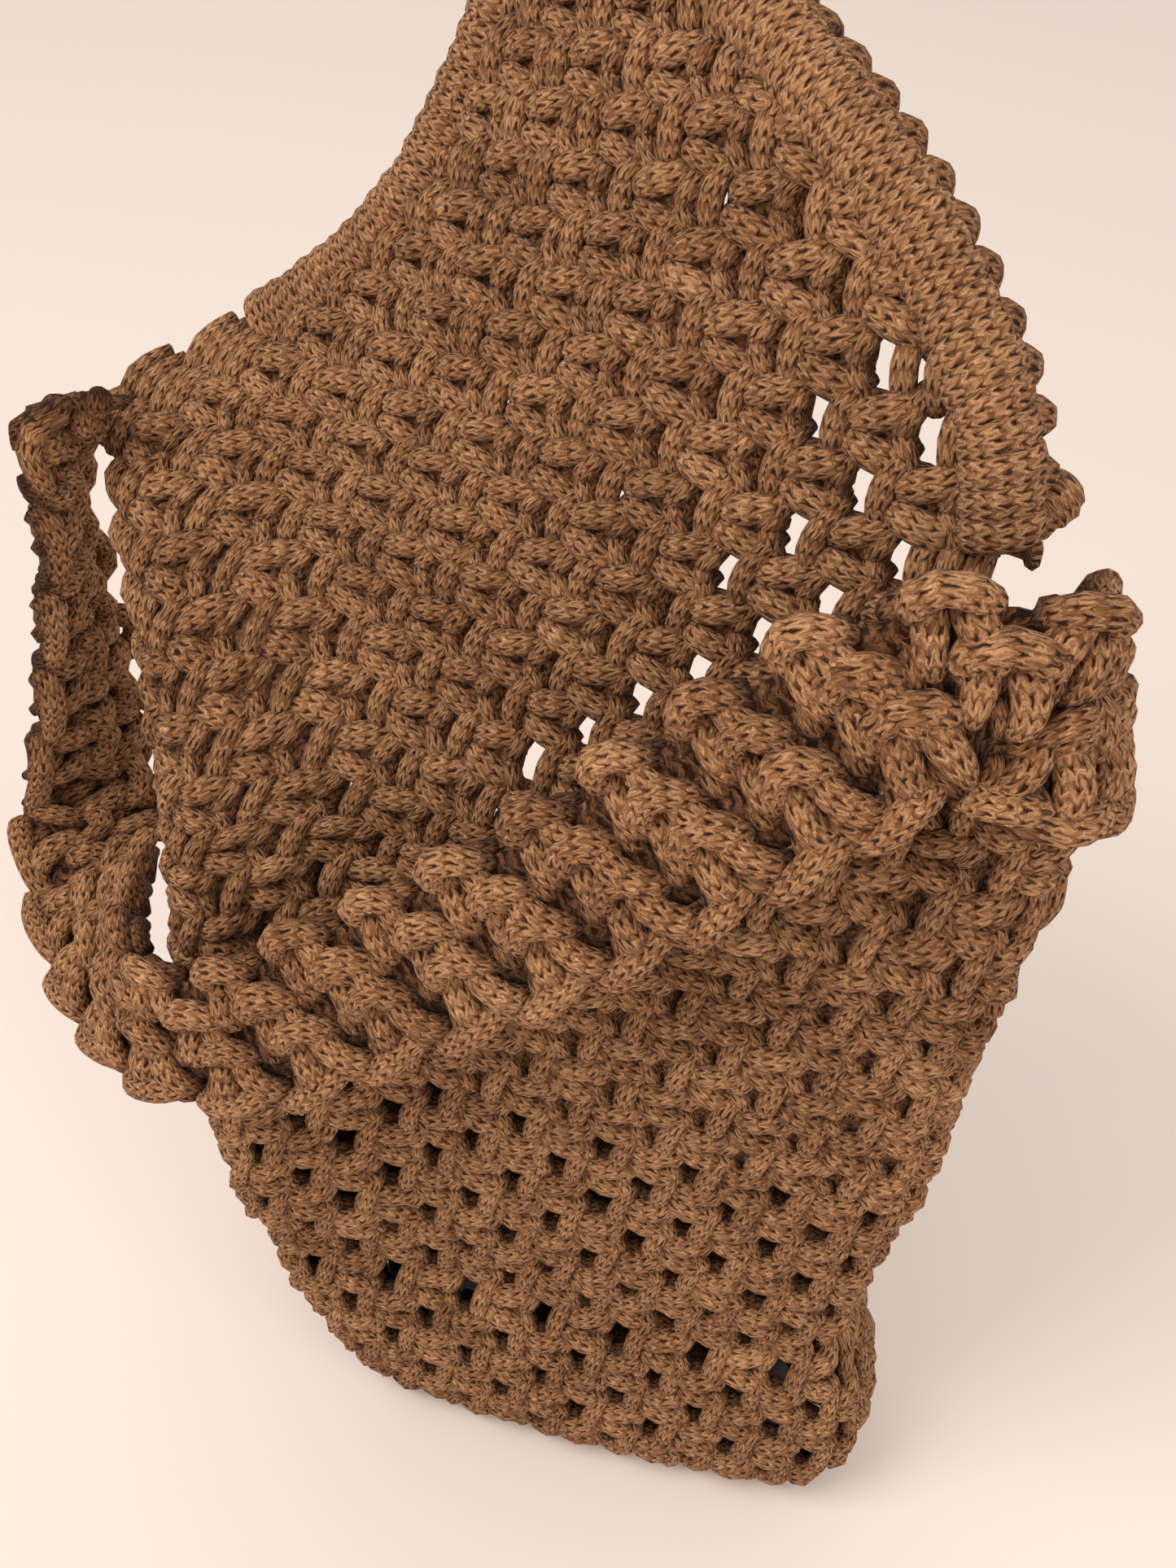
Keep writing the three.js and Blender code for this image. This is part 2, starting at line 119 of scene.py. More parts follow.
# row, side, back, lift, turn, bow, rise, left, right, hookL, hookR, curl
flapTable = [
    [20.0, -0.270, 0.03, 0.072, 17, 16, 1, -0.445, 0.75, 78, 72, 34],
    [22.0, -0.258, 0.065, 0.172, 19, 15, 3, -0.50, 0.74, 62, 50, 30],
    [24.0, -0.250, 0.095, 0.258, 21, 15, 4, -0.575, 0.71, 46, 30, 22],
    [26.0, -0.235, 0.127, 0.338, 23, 15, 6, -0.645, 0.57, 36, -12, 12],
    [28.0, -0.218, 0.160, 0.418, 25, 15, 8, -0.52, 0.53, 34, -16, 0],
    [30.0, -0.210, 0.200, 0.500, 28, 17, 10, -0.385, 0.50, 36, -18, 0],
    [32.0, -0.206, 0.240, 0.582, 30, 19, 12, -0.295, 0.41, 38, -20, 0],
    [34.0, -0.206, 0.277, 0.665, 34, 21, 14, -0.25, 0.295, 42, -22, 0],
    [36.0, -0.206, 0.315, 0.748, 38, 22, 15, -0.205, 0.15, 44, -26, 0],
    [38.0, -0.206, 0.356, 0.830, 41, 22, 16, -0.155, 0.03, 46, -30, 0],
    [39.0, -0.206, 0.377, 0.870, 42, 22, 17, -0.15, -0.01, 46, -32, 0],
]


def sectionList():
    w, d, h, f = (bag[k] for k in ("bodyWidth", "bodyDepth", "bodyHeight", "flapLength"))
    rows = []
    for row, side, out, up, turn, bow, left, right, curl, deep in bodyTable:
        rows.append([row, side * w, out * d, up * h, turn, bow, 0, left * w, right * w,
                     bag["foldLeft"], bag["foldRight"], curl, deep * d])
    y0, z0 = rows[-1][2], rows[-1][3]
    for row, side, back, lift, turn, bow, rise, left, right, hookL, hookR, curl in flapTable:
        rows.append([row, side * w, y0 + back * f, z0 + lift * f, turn, bow, rise, left * w,
                     right * w, hookL, hookR, curl, 0])
    return np.array(rows, float)


sections = sectionList()


def sectionAt(row):
    # x, y, z, turn, bow, rise, left, right, hookL, hookR, curl, deep at any row
    last = len(sections) - 1
    k = int(np.clip(np.searchsorted(sections[:, 0], row, "left") - 1, 0, last - 1))
    a, b, c, d = (sections[int(np.clip(n, 0, last))] for n in (k - 1, k, k + 1, k + 2))
    span = c[0] - b[0]
    t = np.clip((row - b[0]) / span, 0, 1)
    m0 = (c - b) / span if k == 0 else (c - a) / (c[0] - a[0])
    m1 = (c - b) / span if k == last - 1 else (d - b) / (d[0] - b[0])
    t2, t3 = t * t, t ** 3
    out = (2 * t3 - 3 * t2 + 1) * b + (t3 - 2 * t2 + t) * m0 * span
    return (out + (3 * t2 - 2 * t3) * c + (t3 - t2) * m1 * span)[1:]


def smooth(t):
    # an even rise from 0 to 1
    c = np.clip(t, 0, 1)
    return c * c * (3 - 2 * c)


def headingAt(c, s):
    # the way the row runs, in degrees, at distance s from the middle of section c
    turn, bow, left, right, hookL, hookR, curl = c[3], c[4], c[6], c[7], c[8], c[9], c[10]
    hook = bag["hookLength"]
    plain = turn - bow * s / (bag["bodyWidth"] * bag["bowSpan"])
    toRight = smooth((s - (right - hook)) / hook)
    toLeft = smooth((left + hook - s) / hook)
    rolled = smooth((left + hook * bag["curlReach"] - s) / hook) * (1 - toLeft)
    rolling = curl * bag["curlTurn"] * rolled
    return plain * (1 - toRight) * (1 - toLeft) - hookR * toRight + hookL * toLeft - rolling


class Surface:  # a wall as a table of points over row and distance s along the row
    def __init__(self, rows, reach, table):
        self.rows, self.reach, self.table = rows, reach, table
        across = np.gradient(table, axis=1)
        along = np.gradient(table, axis=0)
        normal = np.cross(across, along)
        self.normals = normal / np.maximum(np.linalg.norm(normal, axis=2, keepdims=True), 1e-9)

    def at(self, row, s, w):
        # points w outside the wall's outer face
        sunk = np.maximum(-row, 0) * bag["rowPitch"]
        r = (np.maximum(row, 0) - self.rows[0]) / (self.rows[1] - self.rows[0])
        q = (s - self.reach[0]) / (self.reach[1] - self.reach[0])
        r0 = np.clip(np.floor(r).astype(int), 0, len(self.rows) - 2)
        q0 = np.clip(np.floor(q).astype(int), 0, len(self.reach) - 2)
        fr, fq = (r - r0)[:, None], (q - q0)[:, None]

        def blend(grid):
            low = grid[r0, q0] * (1 - fq) + grid[r0, q0 + 1] * fq
            high = grid[r0 + 1, q0] * (1 - fq) + grid[r0 + 1, q0 + 1] * fq
            return low * (1 - fr) + high * fr

        normal = blend(self.normals)
        normal /= np.maximum(np.linalg.norm(normal, axis=1, keepdims=True), 1e-9)
        place = blend(self.table) + normal * w[:, None]
        place[:, 2] -= sunk
        return place


def wallSurface():
    # the near wall and the flap, in one
    rows = np.arange(0, bag["tipRow"] + 0.01, bag["rowStep"])
    reach = np.arange(-bag["wallReach"], bag["wallReach"] + 1, 1.0)
    mid = (reach[:-1] + reach[1:]) / 2
    table = np.zeros((len(rows), len(reach), 3))
    for n, row in enumerate(rows):
        c = sectionAt(row)
        h = np.radians(headingAt(c, mid))
        climb = math.radians(c[5])
        steps = np.stack([np.cos(h) * math.cos(climb), -np.sin(h) * math.cos(climb),
                          np.full_like(h, math.sin(climb))], 1)
        points = np.concatenate([np.zeros((1, 3)), np.cumsum(steps, 0)])
        table[n] = points - points[bag["wallReach"]] + c[:3]
    return Surface(rows, reach, table)


wallSheet = wallSurface()


def edgePoint(row, side, w=0.0):
    # a point on the wall's left or right edge
    s = sectionAt(row)[6 if side == "left" else 7]
    return wallSheet.at(np.array([row]), np.array([s]), np.array([w]))[0]


def frontSurface():
    # the far wall, from the right fold round to the left one
    rows = np.arange(0, bag["mouthRow"] + 0.01, bag["rowStep"])
    reach = np.arange(0, bag["frontReach"] + 1, 1.0)
    table = np.zeros((len(rows), len(reach), 3))
    lengths = []
    t = np.linspace(0, 1, 400)
    power = bag["frontPower"]
    swell = (1 - np.abs(2 * t - 1) ** power) ** (1 / power)
    squeeze = t - bag["frontSqueeze"] * np.sin(2 * np.pi * t)
    for n, row in enumerate(rows):
        a, b = edgePoint(row, "right"), edgePoint(row, "left")
        chord = b - a
        out = np.array([-chord[1], chord[0], 0])
        out *= np.sign(out[1]) / np.linalg.norm(out)
        deep = bag["frontGap"] + sectionAt(row)[11] * swell
        points = a + chord * squeeze[:, None] + out * deep[:, None]
        run = np.concatenate([[0], np.cumsum(np.linalg.norm(np.diff(points, axis=0), axis=1))])
        lengths.append(run[-1])
        inside = np.stack([np.interp(reach, run, points[:, k]) for k in range(3)], 1)
        past = reach > run[-1]
        inside[past] -= (reach[past] - run[-1])[:, None] * out * bag["frontTuck"]
        table[n] = inside
    sheet = Surface(rows, reach, table)
    sheet.lengths = np.array(lengths)
    return sheet


frontSheet = frontSurface()
print("wall forms worked out")

# one square knot, in millimetres: across, up and out of the wall
# each strand: points it passes through, half its width and half its depth
knotFront = {
    "bar": [[(-0.6, -7.9, -5.8), (-1.3, -5.2, -2.8), (-1.2, -1.8, -1.5), (-0.4, 1.8, -1.5), (0.8, 4.6, -2.8),
             (2.2, 7.2, -5.8)], 2.4, 2.4],
    "upper": [[(0.6, -0.6, -5.6), (2.9, 0.7, -2.9), (6.6, 2.0, -1.7), (10.4, 3.4, -2.9),
               (13.0, 4.8, -5.8)], 3.0, 2.7],
    "lower": [[(0.4, -2.6, -5.8), (2.7, -3.3, -3.0), (6.4, -4.4, -1.9), (10.2, -5.8, -3.1),
               (12.8, -7.2, -5.8)], 3.0, 2.7],
    "tuckUp": [[(9.8, -1.8, -5.4), (11.3, -0.3, -3.5), (12.7, 1.6, -3.0), (14.2, 4.2, -3.9),
                (15.6, 7.2, -5.9)], 2.4, 2.2],
    "tuckLow": [[(9.8, -1.6, -5.6), (11.4, -2.8, -3.7), (12.9, -4.6, -3.2), (14.3, -7.0, -4.0),
                 (15.6, -9.8, -5.9)], 2.3, 2.2],
}
knotBack = {
    "upper": [[(1.0, 3.8, -3.6), (6.5, 1.8, -5.6), (12.4, -0.4, -3.6)], 2.9, 2.3],
    "lower": [[(1.0, -6.2, -3.6), (6.5, -4.4, -5.6), (12.4, -2.4, -3.6)], 2.9, 2.3],
    "backBar": [[(14.4, 5.4, -3.4), (14.0, -1.2, -5.4), (13.8, -7.6, -3.4)], 2.4, 2.2],
}
knotCore = {"core": [[(0.6, -1.3, -4.2), (8.0, -1.2, -4.2), (15.2, -1.3, -4.2)], 6.3, 1.6]}
tightCore = {"core": [[(-6.0, -1.3, -4.6), (5.0, -1.2, -4.4), (15.2, -1.3, -4.4)], 6.3, 1.5]}
# how far strands move, in slits: the bar to the right, the others to the left
slitMoves = {"bar": 0.7, "tucks": 2.4, "backBar": 3.6, "coreStart": 1.6, "coreEnd": 3.4}


def unitTube(sides, rings):
    # a closed tube: share along, angle round, faces
    bm = bmesh.new()
    bmesh.ops.create_cone(bm, cap_ends=True, segments=sides, radius1=1, radius2=1, depth=1)
    risers = [e for e in bm.edges if abs(e.verts[0].co.z - e.verts[1].co.z) > 0.5]
    bmesh.ops.subdivide_edges(bm, edges=risers, cuts=rings - 1, use_grid_fill=True)
    bmesh.ops.recalc_face_normals(bm, faces=bm.faces)
    bm.verts.index_update()
    along = np.array([v.co.z + 0.5 for v in bm.verts])
    angle = np.array([math.atan2(v.co.y, v.co.x) for v in bm.verts])
    faces = [[v.index for v in f.verts] for f in bm.faces]
    bm.free()
    return along, angle, faces


def throughPoints(points, t):
    # a smooth line through the points, at shares t of its length
    p = np.array(points, float)
    p = np.vstack([2 * p[0] - p[1], p, 2 * p[-1] - p[-2]])
    fine = []
    for k in range(1, len(p) - 2):
        u = np.linspace(0, 1, 12, endpoint=False)[:, None]
        a, b, c, d = p[k - 1], p[k], p[k + 1], p[k + 2]
        fine.append(0.5 * (2 * b + (c - a) * u + (2 * a - 5 * b + 4 * c - d) * u ** 2
                           + (3 * b - a - 3 * c + d) * u ** 3))
    fine = np.vstack(fine + [p[-2][None]])
    run = np.concatenate([[0], np.cumsum(np.linalg.norm(np.diff(fine, axis=0), axis=1))])
    at = np.stack([np.interp(t * run[-1], run, fine[:, k]) for k in range(3)], 1)
    return at, run[-1]


def strandShape(points, halfWidth, halfDepth, tube, taper=0.4):
    # the tube laid along the points, a little thinner at its ends
    along, angle, faces = tube
    near = 0.02
    centre, length = throughPoints(points, along)
    ahead, _ = throughPoints(points, np.minimum(along + near, 1))
    behind, _ = throughPoints(points, np.maximum(along - near, 0))
    tangent = ahead - behind
    tangent /= np.linalg.norm(tangent, axis=1, keepdims=True)
    outward = np.array([0, 0, 1.0])
    side = np.cross(outward, tangent)
    side /= np.maximum(np.linalg.norm(side, axis=1, keepdims=True), 1e-6)
    depth = np.cross(tangent, side)
    size = 1 - taper * np.abs(2 * along - 1) ** 3
    place = centre + side * (np.cos(angle) * halfWidth * size)[:, None] \
        + depth * (np.sin(angle) * halfDepth * size)[:, None]
    return place, length


def cordUv(faces, angle, run):
    # round the cord in turns, along it in millimetres, one pair for each face corner
    corners = []
    for f in faces:
        turns = angle[f] / (2 * np.pi)
        turns = turns - np.round(turns - turns[0])
        corners.append(np.stack([turns, run[f]], 1))
    return np.vstack(corners)


class Heap:  # collects the strands of one piece
    def __init__(self):
        self.points, self.faces, self.uvs, self.tints, self.count = [], [], [], [], 0

    def add(self, place, faces, uv, tint):
        start = self.count
        self.points.append(place)
        self.faces.extend([[n + start for n in f] for f in faces])
        self.uvs.append(uv)
        self.tints.append(np.zeros(len(place)) + tint)
        self.count += len(place)

    def build(self, name, material):
        points = np.vstack(self.points) * 0.001  # to metres
        points[:, 2] = np.maximum(points[:, 2], 0.0004)  # flat where the bag stands on the floor
        mesh = bpy.data.meshes.new(name)
        mesh.from_pydata(points.tolist(), [], self.faces)
        layer = mesh.uv_layers.new(name="cord")
        layer.data.foreach_set("uv", np.vstack(self.uvs).astype(np.float32).ravel())
        # per-point tone: random differences between strands plus painted shade
        tint = mesh.attributes.new("tint", "FLOAT", "POINT")
        tint.data.foreach_set("value", np.concatenate(self.tints).astype(np.float32))
        mesh.polygons.foreach_set("use_smooth", np.ones(len(mesh.polygons), bool))
        mesh.materials.append(material)
        mesh.update()
        piece = bpy.data.objects.new(name, mesh)
        bpy.context.scene.collection.objects.link(piece)
        print(name, "made:", sum(len(f) - 2 for f in self.faces), "triangles")
        return piece


fineTube, plainTube, coarseTube = unitTube(10, 8), unitTube(8, 6), unitTube(6, 3)
chance = np.random.default_rng(11)


def knotStrands(strands, tube, taper=0.4, slit=0.0):
    # slit opens the gap beside a knot: its bar moves right, its tucked ends and back bar move left
    moves = {
        "bar": lambda a: slitMoves["bar"],
        "tuckUp": lambda a: -slitMoves["tucks"] * max(0, (a - 9) / 6),
        "tuckLow": lambda a: -slitMoves["tucks"] * max(0, (a - 9) / 6),
        "backBar": lambda a: -slitMoves["backBar"],
        "core": lambda a: slitMoves["coreStart"] if a < 4 else -slitMoves["coreEnd"] if a > 12 else 0,
    }
    along, angle, faces = tube
    out = []
    for name, (points, halfWidth, halfDepth) in strands.items():
        if slit > 0 and name in moves:
            points = [(a + slit * moves[name](a), h, w) for a, h, w in points]
        place, length = strandShape(points, halfWidth, halfDepth, tube, taper)
        out.append((place, faces, cordUv(faces, angle, along * length)))
    return out


frontShapes = {
    "plain": knotStrands(knotFront, plainTube),
    "fine": knotStrands(knotFront, fineTube),
    "plainOpen": knotStrands(knotFront, plainTube, slit=0.8),
    "fineOpen": knotStrands(knotFront, fineTube, slit=0.85),
}
backShapes = {
    "shut": knotStrands(knotBack, coarseTube, 0.3),
    "open": knotStrands(knotBack, coarseTube, 0.3, slit=1.0),
}
coreShapes = {
    "shut": knotStrands(knotCore, coarseTube, 0.3),
    "open": knotStrands(knotCore, coarseTube, 0.3, slit=1.0),
}
coreShapes["tight"] = knotStrands(tightCore, coarseTube, 0.2)

# how unevenly the knots are tied, in millimetres, and how tones differ; the shade table holds painted shade
# for deep, inner and backing strands
handwork = {"knotShift": 0.28, "strandShift": 0.22, "grow": 0.035, "knotTone": 0.018, "strandTone": 0.025}
shade = {"deep": -0.42, "low": -5.4, "high": -1.5, "strapHigh": 1.2, "farSide": -7.0, "inside": -0.22,
         "backing": -0.2}


def depthShade(w, low=shade["low"], high=shade["high"]):
    # painted shade: strands are darker where they dive between their neighbours, less so on the far side
    deep = 1 - smooth((w - low) / (high - low))
    return shade["deep"] * deep * (1 - 0.6 * smooth((shade["farSide"] - w) / 2))


def patternSlide():
    # the stitches start anywhere on a strand
    return chance.uniform(0, 400, 2) * [0.01, 1]


def addKnot(heap, mapping, shapes, gapKind="shut", high=shade["high"]):
    # mapping turns across, up, out into bag millimetres
    shift = chance.normal(0, handwork["knotShift"], 3) * [1, 1, 0.5]
    toneKnot = chance.normal(0, handwork["knotTone"])
    back = backShapes["open" if gapKind == "open" else "shut"]
    for strands, isFront in ((shapes, True), (back, False), (coreShapes[gapKind], False)):
        for place, faces, uv in strands:
            middle = place.mean(0)
            grow = 1 + chance.normal(0, handwork["grow"])
            own = chance.normal(0, handwork["strandShift"], 3) * [1, 1, 0.6]
            moved = (place - middle) * grow + middle + (shift + own) * isFront
            slide = patternSlide()
            # back and core strands get painted shade, darker than the front strands
            tone = shade["inside"]
            if isFront:
                # random tone of the knot and strand, plus painted shade where the strand dives deep
                tone = toneKnot + chance.normal(0, handwork["strandTone"]) + depthShade(moved[:, 2], high=high)
            heap.add(mapping(moved), faces, uv + slide, tone)


def addBacking(heap, mapping):
    # painted shade: the backing cores are darker
    for place, faces, uv in coreShapes["tight"]:
        heap.add(mapping(place), faces, uv, shade["backing"])


def onWall(sheet, row, s):
    return lambda p: sheet.at(row + p[:, 1] / bag["rowPitch"], s + p[:, 0], p[:, 2])


def knotRow(n):
    # the row's height and where its knots start
    return n + bag["rowPhase"], (0 if n % 2 else bag["knotPitch"] / 2)


upright = {"half": 2.5, "out": -2.6, "dive": 2.6, "low": -7.5, "high": 6.5, "room": 4.6, "before": 3.4,
           "after": 16.2}


def addUprights(heap, mapping, spans):
    # upright cords skip a row beside the last knots, where no knot fits
    low, high, out = upright["low"], upright["high"], upright["out"]
    along, angle, faces = plainTube
    for start, end in spans:
        count = int((end - start) // upright["room"])
        for m in range(count):
            a = start + (m + 0.5) * (end - start) / count
            rise = [(a, low, out - upright["dive"]), (a, low * 0.6 + high * 0.4, out),
                    (a, (low + high) / 2, out + 0.3), (a, low * 0.4 + high * 0.6, out),
                    (a, high, out - upright["dive"])]
            place, length = strandShape(rise, upright["half"], upright["half"], plainTube, 0.3)
            uv = cordUv(faces, angle, along * length) + patternSlide()
            # random tone plus painted shade where the cord dives deep
            tone = chance.normal(0, handwork["strandTone"]) + depthShade(place[:, 2], -5.8, -2.8)
            heap.add(mapping(place), faces, uv, tone)


# the cord-wound edge of the flap: first row on each side, and its sizes in millimetres
rim = {
    "leftStart": 28.4,
    "rightStart": 28.0,
    "wrap": 4.8,
    "cordWide": 3.2,
    "cordDeep": 1.7,
    "halfWidth": 5.6,
    "halfDepth": 4.6,
    "stepsPerTurn": 18,
    "smoothing": 30,
    "tone": 0.02,
    "coreRadius": 4.2,
    # painted shade on the rim's core cord
    "coreShade": -0.3,
    "bumpTone": -0.05,
    "bumpPitch": 7.8,
    "bumpRadius": 2.9,
    "bumpAlong": [-1.6, -0.8, 0.0, 0.8, 1.6],
    "bumpAcross": [2.6, 4.6, 5.3, 4.6, 2.6],
    "bumpDeep": [-0.2, -1.8, -4.0, -6.0, -7.0],
}
# rows with slits, how far from the middle of the wall they start, and where cores close the gaps
slits = {"bodyRows": 13, "flapRows": 21, "start": 20, "perRowUp": 3, "perRowDown": 7, "middleRow": 24,
         "share": 0.9, "besideStrap": 74, "tightRows": 17, "leftTight": -22,
         "backing": 16.5}


def slitKind(n, s):
    # slits show on the lower body, and on the right above the mouth
    middleRow = slits["middleRow"]
    firstSlit = slits["start"] + slits["perRowUp"] * max(0, n - middleRow) \
        - slits["perRowDown"] * max(0, middleRow - n)
    besideStrap = n < middleRow and s > slits["besideStrap"]
    onFlap = n >= slits["flapRows"] and s > firstSlit and not besideStrap
    if n < slits["bodyRows"] or (onFlap and chance.random() < slits["share"]):
        return "open"
    return "tight" if s < slits["leftTight"] or n < slits["tightRows"] or besideStrap else "shut"


def wallKnots(heap, firstRow, lastRow, edge, tube):
    # rows of knots between the wall's two edges; edge is how far they stay inside them along the rim
    pitch = bag["knotPitch"]
    plainEdge, cornerOut, cornerFrom = 0.5, -5.5, 25.5
    for n in range(firstRow, lastRow + 1):
        row, offset = knotRow(n)
        c = sectionAt(min(row, bag["tipRow"]))
        low = c[6] + (edge if row > rim["leftStart"] else cornerOut if row > cornerFrom else plainEdge)
        high = c[7] - (edge if row > rim["rightStart"] else plainEdge)
        first = math.ceil((low + bag["knotStart"] - offset) / pitch)
        last = math.floor((high - bag["knotEnd"] - offset) / pitch)
        for k in range(first, last + 1):
            s = k * pitch + offset
            kind = slitKind(n, s)
            shapes = frontShapes[tube + "Open" if kind == "open" else tube]
            addKnot(heap, onWall(wallSheet, row, s), shapes, kind)
        if slits["bodyRows"] <= n < slits["middleRow"]:
            addBacking(heap, onWall(wallSheet, row, high - slits["backing"]))
        addUprights(heap, onWall(wallSheet, row, 0), (
            (low, first * pitch + offset - upright["before"]),
            (last * pitch + offset + upright["after"], high)))


# knitted cord; colours are linear, the stitch is in millimetres, bumps are in metres
cordLook = {
    "dark": (0.022, 0.006, 0.0015, 1),
    "mid": (0.222, 0.093, 0.035, 1),
    "light": (0.68, 0.37, 0.18, 1),
    "columns": 10,
    "stitch": 2.7,
    "roughness": 0.92,
    "sheen": 0.05,
    "specular": 0.1,
    "bump": 0.75,
    "bumpHeight": 0.0006,
    "strapPaintedLight": 1.08,
}


def cordMaterial(name, shade=1.0):
    material = bpy.data.materials.new(name)
    material.use_nodes = True
    nodes, links = material.node_tree.nodes, material.node_tree.links
    shader = nodes["Principled BSDF"]
    shader.inputs["Roughness"].default_value = cordLook["roughness"]
    shader.inputs["Sheen Weight"].default_value = cordLook["sheen"]
    shader.inputs["Sheen Roughness"].default_value = 0.6
    shader.inputs["Specular IOR Level"].default_value = cordLook["specular"]

    def math2(op, a, b=None, c=None):
        node = nodes.new("ShaderNodeMath")
        node.operation = op
        for k, value in enumerate((a, b, c)):
            if value is None:
                continue
            if isinstance(value, (int, float)):
                node.inputs[k].default_value = value
            else:
                links.new(value, node.inputs[k])
        return node.outputs[0]

    uv = nodes.new("ShaderNodeUVMap")
    uv.uv_map = "cord"
    split = nodes.new("ShaderNodeSeparateXYZ")
    links.new(uv.outputs[0], split.inputs[0])
    turns, run = split.outputs[0], split.outputs[1]
    # uneven stitches: the pattern is pushed about a little
    coordinate = nodes.new("ShaderNodeTexCoord")
    push = nodes.new("ShaderNodeTexNoise")
    push.inputs["Scale"].default_value = 420.0
    push.inputs["Detail"].default_value = 2.0
    links.new(coordinate.outputs["Object"], push.inputs["Vector"])
    pushes = nodes.new("ShaderNodeSeparateColor")
    links.new(push.outputs["Color"], pushes.inputs[0])
    aside = math2("SUBTRACT", pushes.outputs[0], 0.5)
    onward = math2("SUBTRACT", pushes.outputs[1], 0.5)
    column = math2("MULTIPLY_ADD", aside, 0.9, math2("MULTIPLY", turns, cordLook["columns"]))
    inColumn = math2("FRACT", column)
    fromMiddle = math2("MULTIPLY", math2("ABSOLUTE", math2("SUBTRACT", inColumn, 0.5)), 2)  # 0 middle, 1 edge
    step = math2("MULTIPLY_ADD", onward, 1.1, math2("DIVIDE", run, cordLook["stitch"]))
    leg = math2("MULTIPLY_ADD", fromMiddle, 0.62, step)
    wave = math2("SINE", math2("MULTIPLY", leg, 2 * math.pi))
    ridge = math2("MULTIPLY_ADD", wave, 0.5, 0.5)  # 0 between stitches, 1 on a stitch
    # small holes in the middle of each stitch, painted dark as shade
    middleBand = math2("POWER", math2("SUBTRACT", 1, fromMiddle), 2.2)
    hole = math2("MULTIPLY", middleBand, math2("POWER", math2("SUBTRACT", 1, ridge), 2.4))
    edge = math2("POWER", fromMiddle, 6)
    # fibres run with the stitch legs
    warp = nodes.new("ShaderNodeCombineXYZ")
    links.new(math2("MULTIPLY_ADD", leg, 2.6, math2("MULTIPLY", turns, 9)), warp.inputs[0])
    links.new(math2("MULTIPLY", math2("MULTIPLY_ADD", fromMiddle, -0.5, step), 0.7), warp.inputs[1])
    fibre = nodes.new("ShaderNodeTexNoise")
    fibre.inputs["Scale"].default_value = 2.4
    fibre.inputs["Detail"].default_value = 5.0
    fibre.inputs["Roughness"].default_value = 0.7
    links.new(warp.outputs[0], fibre.inputs["Vector"])
    patch = nodes.new("ShaderNodeTexNoise")
    patch.inputs["Scale"].default_value = 60.0
    patch.inputs["Detail"].default_value = 3.0
    links.new(coordinate.outputs["Object"], patch.inputs["Vector"])
    # per-point tone, random differences plus painted shade, added to the colour tone
    tint = nodes.new("ShaderNodeAttribute")
    tint.attribute_name = "tint"
    # tone from 0, dark, to 1, light
    tone = math2("MULTIPLY_ADD", math2("SUBTRACT", fibre.outputs[0], 0.5), 1.8, 0.62)
    tone = math2("MULTIPLY_ADD", math2("SUBTRACT", patch.outputs[0], 0.5), 0.30, tone)
    # painted shade: darker between stitches, in the stitch holes and at the column edges
    tone = math2("MULTIPLY_ADD", math2("SUBTRACT", ridge, 0.5), 0.16, tone)
    tone = math2("MULTIPLY_ADD", hole, -0.68, tone)
    tone = math2("MULTIPLY_ADD", edge, -0.10, tone)
    tone = math2("ADD", tint.outputs["Fac"], tone)
    ramp = nodes.new("ShaderNodeValToRGB")
    ramp.color_ramp.elements[0].position = 0.08
    ramp.color_ramp.elements[1].position = 0.95
    # shade scales the colours, so a copy of the cord can be painted lighter or darker
    for element, key in ((0, "dark"), (1, "light")):
        ramp.color_ramp.elements[element].color = [v * shade for v in cordLook[key][:3]] + [1]
    middle = ramp.color_ramp.elements.new(0.5)
    middle.color = [v * shade for v in cordLook["mid"][:3]] + [1]
    links.new(tone, ramp.inputs[0])
    links.new(ramp.outputs[0], shader.inputs["Base Color"])
    pits = math2("MULTIPLY_ADD", hole, 0.9, math2("MULTIPLY", edge, 0.3))
    plain = math2("SUBTRACT", math2("MULTIPLY", ridge, 0.8), pits)
    height = math2("MULTIPLY_ADD", fibre.outputs[0], 0.8, plain)
    bump = nodes.new("ShaderNodeBump")
    bump.inputs["Strength"].default_value = cordLook["bump"]
    bump.inputs["Distance"].default_value = cordLook["bumpHeight"]
    links.new(height, bump.inputs["Height"])
    links.new(bump.outputs[0], shader.inputs["Normal"])
    return material


wallCord = cordMaterial("knitted_cord")
# the strap's cord is the wall cord painted lighter, its colours 1.08 times brighter
strapCord = cordMaterial("strap_cord", cordLook["strapPaintedLight"])
print("cord material made")

# back wall
backHeap = Heap()
wallKnots(backHeap, 0, bag["cornerRow"] - 1, 0.5, "plain")
backPiece = backHeap.build("back_wall_knots", wallCord)
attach(backPiece, "root")
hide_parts("back_panel")

# flap
flapHeap = Heap()
wallKnots(flapHeap, bag["cornerRow"], bag["tipRow"] - 2, -2.5, "fine")
flapPiece = flapHeap.build("flap_knots", wallCord)
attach(flapPiece, "root")
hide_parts("flap_panel")

# front wall, on the far side
frontHeap = Heap()


def frontKnots(heap):
    pitch = bag["knotPitch"]
    for n in range(0, bag["mouthRow"]):
        row, offset = knotRow(n)
        right = sectionAt(row)[7]
        length = np.interp(row, frontSheet.rows, frontSheet.lengths)
        first = math.ceil((right - bag["knotStart"] - offset) / pitch)
        last = math.floor((right + length - bag["knotEnd"] - offset) / pitch)
        for k in range(first, last + 1):
            addKnot(heap, onWall(frontSheet, row, k * pitch + offset - right), frontShapes["plain"])
        addUprights(heap, onWall(frontSheet, row, 0), (
            (0, first * pitch + offset - right - upright["before"]),
            (last * pitch + offset - right + upright["after"], length)))


